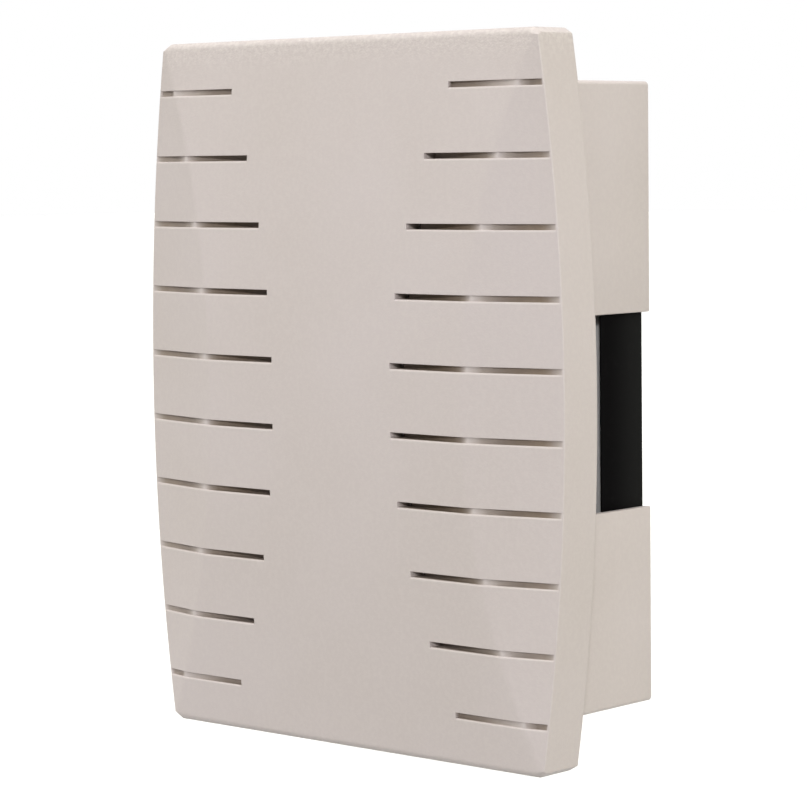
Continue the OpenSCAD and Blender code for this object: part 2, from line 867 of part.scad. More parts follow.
function coil_path() = [
    for (i = [0 : 8 * spring_turns])
        let (a = 360 * i / 8, run = spring_l - spring_wire - fit_gap)
        [clip_x + (spring_wire + fit_gap) / 2 + run * i / (8 * spring_turns),
         spring_d / 2 * cos(a), spring_d / 2 * sin(a)]
];

module spring(z) {
    on_axis(z)
        tube(coil_path(), spring_wire / 2, 6, [1, 0.2, 0]);
}

// A lead from a bobbin's tab, along its route by way of x_via, to the back of a solder tab
module lead(tab_x, tab_z, route, x_via, x_end) {
    path = concat(
        [[tab_x, -strike_d, tab_z], [tab_x, -strike_d, tab_z - 1.5 * lead_d]],
        [for (p = route) [
            across(p[0], tab_x, x_via, x_end),
            -between(strike_d, lane_d, p[1]),
            between(tab_z, solder_z, p[2])
        ]],
        [[x_end, 5 * lead_d - block_d, solder_z], [x_end, -block_d, solder_z]]
    );
    tube(path, lead_d / 2, 8, [0.3, -1, 0.1]);
}

module front_yoke() {
    color([0.7, 0.7, 0.72])
        yoke(front_z);
}

module front_bobbin() {
    color([0.9, 0.89, 0.85])
        bobbin(front_z);
}

module front_coil() {
    color([0.66, 0.34, 0.16])
        coil(front_z);
}

module front_plunger() {
    color([0.56, 0.57, 0.6])
        plunger_core(front_z);
}

module front_left_tip() {
    color([0.93, 0.92, 0.88])
        left_tip(front_z, front_left_x);
}

module front_right_tip() {
    color([0.93, 0.92, 0.88])
        right_tip(front_z);
}

module front_spring() {
    color([0.75, 0.75, 0.78])
        spring(front_z);
}

module front_spring_clip() {
    color([0.35, 0.36, 0.38])
        spring_clip(front_z);
}

module rear_yoke() {
    color([0.7, 0.7, 0.72])
        yoke(rear_z);
}

module rear_bobbin() {
    color([0.9, 0.89, 0.85])
        bobbin(rear_z);
}

module rear_coil() {
    color([0.66, 0.34, 0.16])
        coil(rear_z);
}

module rear_plunger() {
    color([0.56, 0.57, 0.6])
        plunger_core(rear_z);
}

module rear_left_tip() {
    color([0.93, 0.92, 0.88])
        left_tip(rear_z, rear_left_x);
}

module rear_right_tip() {
    color([0.93, 0.92, 0.88])
        right_tip(rear_z);
}

module rear_spring() {
    color([0.75, 0.75, 0.78])
        spring(rear_z);
}

module rear_spring_clip() {
    color([0.35, 0.36, 0.38])
        spring_clip(rear_z);
}

module rear_bumper() {
    color([0.25, 0.3, 0.27])
        on_axis(rear_z)
            rod(-bumper_x, -bumper_x + bumper_t, bumper_d);
}

module yoke_screws() {
    color([0.72, 0.7, 0.64])
        at_yoke_screws()
            translate([0, -yoke_d - yoke_t, 0])
                rotate([90, 0, 0])
                    screw(yoke_screw_d, yoke_t + pillar_grip - 2 * fit_gap, yoke_head_d, yoke_head_t);
}

module terminal_block() {
    color([0.9, 0.88, 0.82])
        difference() {
            union() {
                translate([0, 0, -block_drop])
                    slab(tray_floor, block_d)
                        square([block_w, block_h], center = true);
                for (i = [-1.5 : 1 : 1.5])
                    translate([i * terminal_pitch, -block_d - barrier_h, -block_drop])
                        translate([-barrier_t / 2, 0, -block_h / 2])
                            cube([barrier_t, block_t + barrier_h, block_h]);
            }
            at_pegs()
                slab(tray_floor - over, tray_floor + peg_l + fit_gap)
                    circle(d = peg_d + 2 * fit_gap);
            at_terminals()
                translate([0, 0, terminal_z])
                    slab(block_d - terminal_grip - fit_gap, block_d + over)
                        circle(d = terminal_screw_d + 2 * fit_gap);
        }
}

module terminal_plates() {
    color([0.78, 0.62, 0.3])
        at_terminals()
            difference() {
                slab(block_d, block_d + terminal_t)
                    union() {
                        translate([-terminal_w / 2, -block_drop - block_h / 2 + terminal_t])
                            square([terminal_w, block_h - 2 * terminal_t]);
                        translate([-tab_w / 2, -block_drop])
                            square([tab_w, block_top + tab_l + block_drop]);
                    }
                translate([0, 0, terminal_z])
                    slab(block_d - over, block_d + terminal_t + over)
                        circle(d = terminal_screw_d + 2 * fit_gap);
            }
}

module terminal_screws() {
    color([0.8, 0.66, 0.34])
        at_terminals()
            translate([0, -block_d - terminal_t, terminal_z])
                rotate([90, 0, 0])
                    screw(terminal_screw_d, terminal_t + terminal_grip, terminal_head_d, terminal_head_t);
}

module front_coil_leads() {
    color([0.75, 0.1, 0.08]) {
        lead(-lead_tab_x, front_z - lead_tab_drop, front_left_route, -lane_x, -terminal_pitch);
        lead(lead_tab_x, front_z - lead_tab_drop, front_right_route, lane_x, lead_d);
    }
}

module rear_coil_leads() {
    color([0.85, 0.84, 0.8]) {
        lead(-lead_tab_x, rear_z - lead_tab_drop, rear_left_route, -lead_d, -lead_d);
        lead(lead_tab_x, rear_z - lead_tab_drop, rear_right_route, terminal_pitch, terminal_pitch);
    }
}

echo(spring_gap = least_gap(coil_path(), 6) - spring_wire);

cover();
base_tray();
left_tone_bar();
right_tone_bar();
tone_bar_grommets();
tone_bar_screws();
front_yoke();
front_bobbin();
front_coil();
front_plunger();
front_left_tip();
front_right_tip();
front_spring();
front_spring_clip();
rear_yoke();
rear_bobbin();
rear_coil();
rear_plunger();
rear_left_tip();
rear_right_tip();
rear_spring();
rear_spring_clip();
rear_bumper();
yoke_screws();
terminal_block();
terminal_plates();
terminal_screws();
front_coil_leads();
rear_coil_leads();
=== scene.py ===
import math

import bmesh
import bpy
import numpy as np
from mathutils import Matrix, Vector


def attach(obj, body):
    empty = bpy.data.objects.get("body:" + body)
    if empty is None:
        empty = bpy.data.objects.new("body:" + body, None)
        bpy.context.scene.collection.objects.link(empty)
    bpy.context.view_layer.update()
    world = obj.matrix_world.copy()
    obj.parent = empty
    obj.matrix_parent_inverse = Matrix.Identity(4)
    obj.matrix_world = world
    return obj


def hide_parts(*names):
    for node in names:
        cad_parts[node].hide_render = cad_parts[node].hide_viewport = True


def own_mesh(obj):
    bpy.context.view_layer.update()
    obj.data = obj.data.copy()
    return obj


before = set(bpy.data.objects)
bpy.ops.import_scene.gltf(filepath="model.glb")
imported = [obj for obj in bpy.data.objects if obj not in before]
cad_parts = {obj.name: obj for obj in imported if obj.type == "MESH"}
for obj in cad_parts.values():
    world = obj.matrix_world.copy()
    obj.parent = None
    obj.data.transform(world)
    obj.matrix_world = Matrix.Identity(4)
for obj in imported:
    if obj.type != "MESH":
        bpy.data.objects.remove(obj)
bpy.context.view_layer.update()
scene = bpy.context.scene
scene.view_settings.view_transform = "Standard"
mm = 0.001
print("frame loaded:", len(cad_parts), "nodes")


cameraSet = {"turn": 41.978, "rise": 4.709, "roll": -0.698, "away": 782.88,
             "aim": (21.073, -57.4, -1.296), "lens": 133.55}


def placeCamera(s):
    turn, rise, roll = (math.radians(s[k]) for k in ("turn", "rise", "roll"))
    back = Vector((math.sin(turn) * math.cos(rise), -math.cos(turn) * math.cos(rise), math.sin(rise)))
    right = Vector((math.cos(turn), math.sin(turn), 0))
    up = back.cross(right)
    across = right * math.cos(roll) + up * math.sin(roll)
    upright = up * math.cos(roll) - right * math.sin(roll)
    data = bpy.data.cameras.new("photoCamera")
    data.lens, data.sensor_width = s["lens"], 36
    data.clip_start, data.clip_end = 0.01, 50
    cam = bpy.data.objects.new("photoCamera", data)
    scene.collection.objects.link(cam)
    place = (Vector(s["aim"]) + back * s["away"]) * mm
    cam.matrix_world = Matrix.Translation(place) @ Matrix((across, upright, back)).transposed().to_4x4()
    scene.camera = cam


placeCamera(cameraSet)


class Signal:  # a shader value that can be written into sums
    def __init__(self, finish, socket):
        self.finish, self.socket = finish, socket

    def work(self, operation, first, second):
        return self.finish.add("ShaderNodeMath", {"operation": operation}, {0: first, 1: second})

    def __add__(self, other):
        return self.work("ADD", self, other)

    def __radd__(self, other):
        return self.work("ADD", other, self)

    def __sub__(self, other):
        return self.work("SUBTRACT", self, other)

    def __rsub__(self, other):
        return self.work("SUBTRACT", other, self)

    def __mul__(self, other):
        return self.work("MULTIPLY", self, other)

    def __rmul__(self, other):
        return self.work("MULTIPLY", other, self)


class Finish:  # one procedural material
    def __init__(self, name, world=None):
        self.material = world or bpy.data.materials.new(name)
        self.material.use_nodes = True
        self.tree = self.material.node_tree
        self.tree.nodes.clear()
        self.place = self.add("ShaderNodeTexCoord", out="Object")

    def add(self, kind, settings=None, sockets=None, out=0):
        node = self.tree.nodes.new(kind)
        for key, value in (settings or {}).items():
            if key == "stops":  # a ramp's places and greys
                ramp = node.color_ramp.elements
                while len(ramp) < len(value):
                    ramp.new(0.5)
                for stop, (at, grey) in zip(ramp, value):
                    stop.position, stop.color = at, (grey, grey, grey, 1)
            else:
                setattr(node, key, value)
        for key, value in (sockets or {}).items():
            if isinstance(value, Signal):
                self.tree.links.new(value.socket, node.inputs[key])
            else:
                node.inputs[key].default_value = value
        return Signal(self, node.outputs[out]) if node.outputs else None

    def along(self, axis):  # a point's place on one axis
        return self.add("ShaderNodeSeparateXYZ", None, {0: self.place}, out=axis)

    def stretched(self, scale, turn=(0, 0, 0)):
        return self.add("ShaderNodeMapping", None, {"Vector": self.place, "Scale": scale, "Rotation": turn})

    def cloud(self, scale, detail=2.0, rough=0.5, where=None):
        return self.add("ShaderNodeTexNoise", None,
                        {"Vector": where or self.place, "Scale": scale, "Detail": detail, "Roughness": rough})

    def cells(self, scale):
        return self.add("ShaderNodeTexVoronoi", None, {"Vector": self.place, "Scale": scale})

    def ramp(self, value, *stops):
        return self.add("ShaderNodeValToRGB", {"stops": stops}, {"Fac": value})

    def fade(self, value, low, high):  # from 0 to 1, eased at both ends
        return self.add("ShaderNodeMapRange", {"interpolation_type": "SMOOTHSTEP"},
                        {"Value": value, "From Min": low, "From Max": high})

    def tint(self, share, first, second):
        return self.add("ShaderNodeMix", {"data_type": "RGBA"}, {0: share, 6: first, 7: second}, out=2)

    def bump(self, height, depth, strength=1.0, under=None):
        sockets = {"Height": height, "Distance": depth, "Strength": strength}
        if under:
            sockets["Normal"] = under
        return self.add("ShaderNodeBump", None, sockets)

    def worn(self, low=0.52, high=0.62):  # 1 along outward edges
        return self.ramp(self.add("ShaderNodeNewGeometry", out="Pointiness"), (low, 0), (high, 1))

    def seen(self):  # 1 for the rays that show the background
        rays = ("Is Camera Ray", "Is Glossy Ray", "Is Transmission Ray")
        camera, glossy, through = (self.add("ShaderNodeLightPath", out=ray) for ray in rays)
        return self.add("ShaderNodeClamp", None, {"Value": camera + glossy + through})

    def surface(self, **sockets):
        return self.add("ShaderNodeBsdfPrincipled", None, {k.replace("_", " "): v for k, v in sockets.items()})

    def done(self, surface=None, **sockets):
        self.add("ShaderNodeOutputMaterial", None, {"Surface": surface or self.surface(**sockets)})
        return self.material


def colour(red, green, blue):  # screen values to a shader colour
    def flat(v):
        v = v / 255
        return v / 12.92 if v <= 0.04045 else ((v + 0.055) / 1.055) ** 2.4
    return (flat(red), flat(green), flat(blue), 1)


def shade(tone, times, plus=0.0):  # a darker or lighter form of a colour
    return tuple(min(1, times * c + plus) for c in tone[:3]) + (1,)


def almondPlastic():  # the cover's finely grained moulding
    f = Finish("almondPlastic")
    broad = f.cloud(14, 3)
    fleck = f.cloud(900, 2, 0.6)
    topGrainAndGlints = f.fade(f.along("Z"), 0.086, 0.0945)  # the bump is strongest along the top, and there the pale flecks are painted glints of the light from above
    base = f.tint(f.ramp(broad, (0.35, 0), (0.68, 1)), colour(203, 193, 190), colour(207, 197, 196))
    # painted glints: pale flecks, stronger along the top
    base = f.tint(f.ramp(fleck, (0.42, 0), (0.62, 1)) * (0.2 + topGrainAndGlints * 0.6), base, colour(216, 207, 203))
    grain = f.cloud(2400, 3, 0.62)
    pits = f.cells(1700)
    normal = f.bump((grain * 0.7 + pits * 0.5) * (1 + topGrainAndGlints * 2.5), 0.00006, 0.5)
    normal = f.bump(broad, 0.0006, 0.12, normal)  # moulding ripple
    rough = 0.47 + f.cloud(240, 3) * 0.12
    clean = f.surface(Base_Color=base, Roughness=rough, Normal=normal, Specular_IOR_Level=0.28)
    dustAndShade = f.add("ShaderNodeAttribute", {"attribute_name": "slotDust"}, out="Fac")  # painted shade in the slots, set per point on the cover's mesh
    # painted shade: a dull brown that darkens the slots' floors where shade falls
    slotShadeTone = f.tint(f.cloud(700, 3), colour(124, 109, 94), colour(142, 126, 110))
    dull = f.surface(Base_Color=slotShadeTone, Roughness=0.95, Normal=normal, Specular_IOR_Level=0.0)
    return f.done(f.add("ShaderNodeMixShader", None, {0: dustAndShade, 1: clean, 2: dull}))


def blackPlastic():  # the tray
    f = Finish("blackPlastic")
    streak = f.cloud(26, 4, 0.6, f.stretched((1, 0.25, 1)))
    dustAndShade = f.ramp(f.cloud(420, 3, 0.65), (0.56, 0), (0.75, 1))
    base = f.tint(f.ramp(streak, (0.3, 0), (0.75, 1)), colour(5, 4, 5), colour(8, 7, 8))
    paintedRearLight = f.fade(f.along("Y"), -0.016, -0.001)  # painted light: paler towards the wall, away from the rim's shade
    base = f.tint(paintedRearLight * (0.5 + streak * 0.5), base, colour(31, 31, 31))
    base = f.tint(dustAndShade * 0.1, base, colour(46, 45, 44))
    normal = f.bump(f.cloud(2000, 2, 0.6), 0.00003, 0.4)
    return f.done(Base_Color=base, Roughness=0.42 + streak * 0.22, Normal=normal, Specular_IOR_Level=0.015)


def metal(name, dull, bright, rough, along, stains=0.15):  # drawn, ground or plated metal
    f = Finish(name)
    lines = f.cloud(900, 3, 0.6, f.stretched(along))
    blotch = f.cloud(60, 4, 0.55)
    base = f.tint(lines, dull, bright)
    base = f.tint(f.ramp(blotch, (0.5, 0), (0.72, 1)) * stains, base, shade(dull, 0.55))
    base = f.tint(f.worn() * 0.4, base, shade(bright, 1.25))
    normal = f.bump(lines, 0.00002, 0.5)
    return f.done(Base_Color=base, Metallic=1.0, Roughness=rough + lines * 0.14 + blotch * 0.1 - 0.1,
                  Normal=normal)


def toneBar():  # brushed, with painted light: a pale, less metallic and rougher band along the edge that the tray shelters
    f = Finish("brushedBar")
    lines = f.cloud(900, 3, 0.6, f.stretched((6, 6, 0.25)))
    blotch = f.cloud(60, 4, 0.55)
    paintedLitEdge = f.fade(f.along("Y") + blotch * 0.004, -0.0255, -0.0195)
    base = f.tint(lines, colour(168, 169, 172), colour(212, 213, 216))
    base = f.tint(f.ramp(blotch, (0.5, 0), (0.75, 1)) * 0.3, base, colour(142, 143, 147))
    base = f.tint(f.worn() * 0.4, base, colour(236, 236, 238))
    # painted light on the sheltered edge
    base = f.tint(paintedLitEdge, base, f.tint(lines, colour(228, 226, 225), colour(247, 245, 244)))
    return f.done(Base_Color=base, Metallic=0.75 - paintedLitEdge * 0.68, Roughness=0.3 + lines * 0.16 + paintedLitEdge * 0.2,
                  Normal=f.bump(lines, 0.00002, 0.5))


def plain(name, dark, light, rough, grain=1500, shine=0.4, milky=0.0):  # small moulded and sleeved pieces
    f = Finish(name)
    broad = f.cloud(45, 3)
    base = f.tint(broad, dark, light)
    base = f.tint(f.worn() * 0.3, base, shade(light, 1.15, 0.02))
    normal = f.bump(f.cloud(grain, 3, 0.6), 0.00003, 0.4)
    return f.done(Base_Color=base, Roughness=rough + f.cloud(300, 2) * 0.14 - 0.07, Normal=normal,
                  Specular_IOR_Level=shine, Subsurface_Weight=milky, Subsurface_Scale=0.002)


def copperWire():  # enamelled winding
    f = Finish("copperWire")
    patch = f.cloud(120, 3)
    base = f.tint(patch, colour(150, 72, 34), colour(196, 108, 58))
    base = f.tint(f.ramp(f.cloud(40, 3), (0.5, 0), (0.8, 1)) * 0.35, base, colour(98, 44, 22))
    normal = f.bump(f.cloud(1600, 2), 0.00002, 0.4)
    return f.done(Base_Color=base, Metallic=0.92, Roughness=0.26 + patch * 0.16, Normal=normal,
                  Coat_Weight=0.5, Coat_Roughness=0.2)


def greyFelt():
    f = Finish("greyFelt")
    fibre = f.cloud(1300, 5, 0.75, f.stretched((1, 0.5, 0.7), (0.4, 0.2, 0.9)))
    base = f.tint(fibre, colour(46, 56, 50), colour(92, 104, 96))
    normal = f.bump(fibre, 0.0002, 0.8)
    return f.done(Base_Color=base, Roughness=0.9 + fibre * 0.1, Normal=normal, Specular_IOR_Level=0.1,
                  Sheen_Weight=0.3)


finishes = {
    "cover_plastic": almondPlastic(),
    "tray_plastic": blackPlastic(),
    "bar_metal": toneBar(),
    "grommet_rubber": plain("blackRubber", colour(26, 26, 26), colour(40, 40, 39), 0.72, 900, 0.25),
    "plated_screw": metal("zincScrew", colour(168, 164, 148), colour(206, 202, 188), 0.3, (2, 2, 2)),
    "yoke_steel": metal("zincStrip", colour(158, 160, 164), colour(200, 202, 205), 0.34, (0.3, 4, 4), 0.22),
    "bobbin_nylon": plain("bobbinNylon", colour(222, 219, 206), colour(234, 232, 222), 0.46, 1100, 0.4, 0.15),
    "coil_copper": copperWire(),
    "plunger_steel": metal("groundSteel", colour(132, 134, 140), colour(186, 188, 192), 0.28, (4, 0.5, 0.5)),
    "tip_nylon": plain("tipNylon", colour(228, 226, 214), colour(240, 238, 228), 0.42, 1100, 0.42, 0.2),
    "spring_steel": metal("springWire", colour(178, 179, 184), colour(214, 215, 218), 0.24, (3, 3, 3), 0.1),
    "clip_steel": metal("phosphateClip", colour(74, 75, 78), colour(112, 113, 116), 0.46, (3, 3, 3), 0.3),
    "bumper_felt": greyFelt(),
    "block_plastic": plain("creamBlock", colour(220, 214, 198), colour(234, 229, 214), 0.5, 1300, 0.4),
    "terminal_brass": metal("brassPlate", colour(178, 140, 62), colour(216, 178, 96), 0.28, (3, 0.4, 3), 0.25),
    "red_insulation": plain("redSleeve", colour(172, 24, 18), colour(198, 36, 28), 0.42, 700, 0.45),
    "white_insulation": plain("whiteSleeve", colour(208, 206, 196), colour(224, 222, 213), 0.44, 700, 0.45),
}
print("finishes made:", len(finishes))


def smoothed(mesh, angle):
    mesh.shade_smooth()
    mesh.set_sharp_from_angle(angle=math.radians(angle))
    return mesh


def settle(name, mesh, slot, body, *nodes):  # a finished mesh becomes a piece on its body
    piece = bpy.data.objects.new(name, mesh)
    scene.collection.objects.link(piece)
    mesh.materials.clear()
    mesh.materials.append(finishes[slot])
    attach(piece, body)
    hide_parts(*nodes)
    return piece


def baked(host, name):  # modifiers turned into a plain mesh
    bpy.context.view_layer.update()
    mesh = bpy.data.meshes.new_from_object(host.evaluated_get(bpy.context.evaluated_depsgraph_get()))
    mesh.name = name
    host.modifiers.clear()
    bpy.data.objects.remove(host)
    return mesh


coverSet = {
    "half": 67.2, "tall": 95.0, "deep": 57.4, "sideBow": 7.4, "frontBow": 5.8, "wingBow": 1.0, "wingTurn": 12.4,
    "rimBack": 43.4, "wall": 2.1, "corner": 2.2, "sideRound": 0.4, "topRound": 2.0, "backRound": 0.4,
    "creaseEase": 0.25, "insideFrom": 82.3, "shadeFrom": 38,
    "slots": 10, "pitch": 18.08, "slotShift": -0.12, "slotHigh": 1.48, "slotIn": 21.2, "slotSpread": 24.5,
    "slotDeep": 4.5, "slotBlind": 1.5, "ridgeOut": 1.8, "ridgeDeep": 0.12, "grooveDeep": 1.2, "groovePlace": 0.35,
    "edgeDeep": 0.15, "lipLow": 0.5, "lipHigh": 0.08, "lipEnd": 0.1, "lipHold": 0.1, "rampWall": 1.0,
    "slotOpen": 1.2, "openRows": range(2, 8),
    # painted shade in the slots: its level by floor depth, then along the wing, by side and by row
    "shadeDepths": (0.12, 1.1, 2.6, 4.2), "shadeByDepth": (0, 0.9, 1, 0.72),
    "wingShadePlaces": (0.06, 0.15, 0.5, 0.8, 1), "wingShade": (0.1, 0.4, 0.72, 0.78, 0.4),
    "sideShades": (0.93, 1), "wingShades": (0.95, 1.2),  # left, then right
    "rowShades": (-82, -63, -30, 45, 63, 82), "rowShadeShare": (0.8, 0.72, 1, 1, 0.85, 0.85),
    "boxHalf": 58.5, "boxTop": 82.2, "boxLow": -83.8, "boxBack": 0.4, "boxCorner": 1.2, "boxEdge": 0.3,
    "notchTop": 21.1, "notchLow": -31.1, "notchFront": 29.0,
}
anyDepth = 99.0  # deeper than any slot


def arcRadius(sag):
    return (coverSet["tall"] ** 2 + sag * sag) / (2 * sag)


def bow(sag, z, inset=0.0):
    r = arcRadius(sag)
    return sag - r + math.sqrt((r - inset) ** 2 - z * z)


def faceY(x, z, inset=0.0):  # the bowed front and its two angled wings
    s = coverSet
    turn = math.radians(s["wingTurn"])
    front = -s["deep"] - bow(s["frontBow"], z, inset)
    wing = -s["deep"] + (abs(x) - s["half"]) * math.tan(turn) - bow(s["wingBow"], z, inset) / math.cos(turn)
    ease = s["creaseEase"]
    near = max(ease - abs(front - wing), 0) / ease
    return max(front, wing) + near * near * ease / 4


def edgeX(z, inset=0.0):
    s = coverSet
    r = arcRadius(s["sideBow"])
    return s["half"] + s["sideBow"] - r + math.sqrt((r - inset) ** 2 - z * z)


def creaseX(z):
    s = coverSet
    turn = math.radians(s["wingTurn"])
    return s["half"] + (bow(s["wingBow"], z) / math.cos(turn) - bow(s["frontBow"], z)) / math.tan(turn)


def slotCentres():
    s = coverSet
    return [(i - (s["slots"] - 1) / 2) * s["pitch"] + s["slotShift"] for i in range(s["slots"])]


def ridgeX(z):  # where a slot's floor comes nearest to the face
    return creaseX(z) + coverSet["ridgeOut"] * (1 - 0.9 * (z / coverSet["tall"]) ** 2)


def slotStart(z):
    return coverSet["slotIn"] + coverSet["slotSpread"] * (z / coverSet["tall"]) ** 2


def slotDepth(x, z, blind):  # how far a slot's floor lies behind the face
    s = coverSet
    start, crease, ridge, edge = slotStart(z), creaseX(z), ridgeX(z), edgeX(z)
    groove = crease + s["groovePlace"] * (edge + 1 - crease)
    front = -s["deep"] - bow(s["frontBow"], z)
    deep = s["slotBlind"] if blind else s["slotDeep"]
    floor = np.interp(x, [start, ridge, groove, edge + 1],
                      [front + deep, faceY(ridge, z) + s["ridgeDeep"], faceY(groove, z) + s["grooveDeep"],
                       faceY(edge + 1, z) + s["edgeDeep"]])
    fade = min(max((edge - s["sideRound"] - x) / 0.6, 0), 1)
    return max(floor - faceY(x, z), 0) * fade * fade * (3 - 2 * fade)


def coverRows():  # heights of the face's grid, close together at each slot
    s = coverSet
    wall = s["slotHigh"] / 2
    centres = slotCentres()
    ends = [s["tall"] - s["topRound"] - k for k in (0, 0.5, 1.1, 1.9, 3.0, 4.4, 6.0, 7.7, 9.4)]
    rows = [(-z, 0.0, None, "plain") for z in ends]
    for i, mid in enumerate(centres):
        for side, lip in ((-1, s["lipLow"]), (1, s["lipHigh"])):
            steps = [(wall + lip + s["lipHold"], 0.0, "plain"), (wall + lip, 0.0, "edge"),
                     (wall + 0.5 * lip, 0.134 * lip, "lip"), (wall + 0.134 * lip, 0.5 * lip, "lip"),
                     (wall, lip, "lip"), (wall, lip + 0.2, "lip"), (wall, anyDepth, "floor")]
            for off, deep, kind in steps if side < 0 else reversed(steps):
                rows.append((mid + side * off, deep, i, kind))
            if side < 0:
                rows.append((mid, anyDepth, i, "floor"))
        if i + 1 < s["slots"]:
            low, high = rows[-1][0], centres[i + 1] - wall - s["lipLow"] - s["lipHold"]
            rows += [(low + (high - low) * k / 8, 0.0, None, "plain") for k in range(1, 8)]
    return rows + [(z, 0.0, None, "plain") for z in reversed(ends)], centres


def coverColumns(z, slotZ, inSlot):  # one row's places from the middle to the right edge
    s = coverSet
    first, lip = slotStart(slotZ), s["lipEnd"]
    start = first - lip
    edge = edgeX(z)
    crease = min(creaseX(z), edge - 6)
    ridge = min(creaseX(slotZ), edgeX(slotZ) - 6)
    groove = crease + s["groovePlace"] * (edge + 1 - crease)
    places = [(start * k, 0.0) for k in (0, 0.17, 0.34, 0.5, 0.66, 0.8, 0.9, 0.96)]
    places += [(start - s["lipHold"], 0.0), (start, 0.0), (first - 0.293 * lip, 0.293 * lip), (first, lip)]
    last = edgeX(z, 2.4)
    floor = [first + (0.0 if inSlot else 0.22), first + s["slotOpen"]]
    floor += [first + share * (ridge - first) for share in (0.22, 0.36, 0.48, 0.58)]
    floor += [first + share * (crease - 1.2 - first) for share in (0.68, 0.77, 0.85, 0.92)]
    floor += [crease + k for k in (-1.1, -0.55, 0.0, 0.55, 1.1)]
    floor += [crease + 1.1 + (groove - crease - 1.1) * k for k in (0.08, 0.5, 1.0)]
    floor += [groove + (last - groove) * k for k in (0.14, 0.3, 0.46, 0.62, 0.76, 0.88)]
    floor += [edgeX(z, k) for k in (2.4, 1.7, 1.05, s["sideRound"])]
    return places + [(x, anyDepth) for x in floor]


def rounded(x, z, corner):  # draws the grid's corner into the plate's round one; gives the way out and the gap left
    s = coverSet
    r = arcRadius(s["sideBow"])
    centre = s["half"] + s["sideBow"] - r
    ax, az = abs(x), abs(z)
    reach = math.hypot(ax - centre, az)
    over, high = corner - (r - reach), corner - (s["tall"] - az)
    outward = (np.sign(x) * (ax - centre) / reach, z / reach)
    if over <= 0 and high <= 0:
        return x, z, (0.0, 0.0), corner
    if high <= 0:
        return x, z, outward, corner - over
    if over <= 0:
        return x, z, (0.0, float(np.sign(z))), corner - high
    size = math.hypot(over, high)
    keep = max(over, high) / size
    zc = s["tall"] - corner
    xc = centre + math.sqrt((r - corner) ** 2 - zc * zc)
    across, rise = over / size, high / size
    return (float(np.sign(x) * (xc + over * keep)), float(np.sign(z) * (zc + high * keep)),
            (float(np.sign(x)) * across, float(np.sign(z)) * rise), corner - max(over, high))


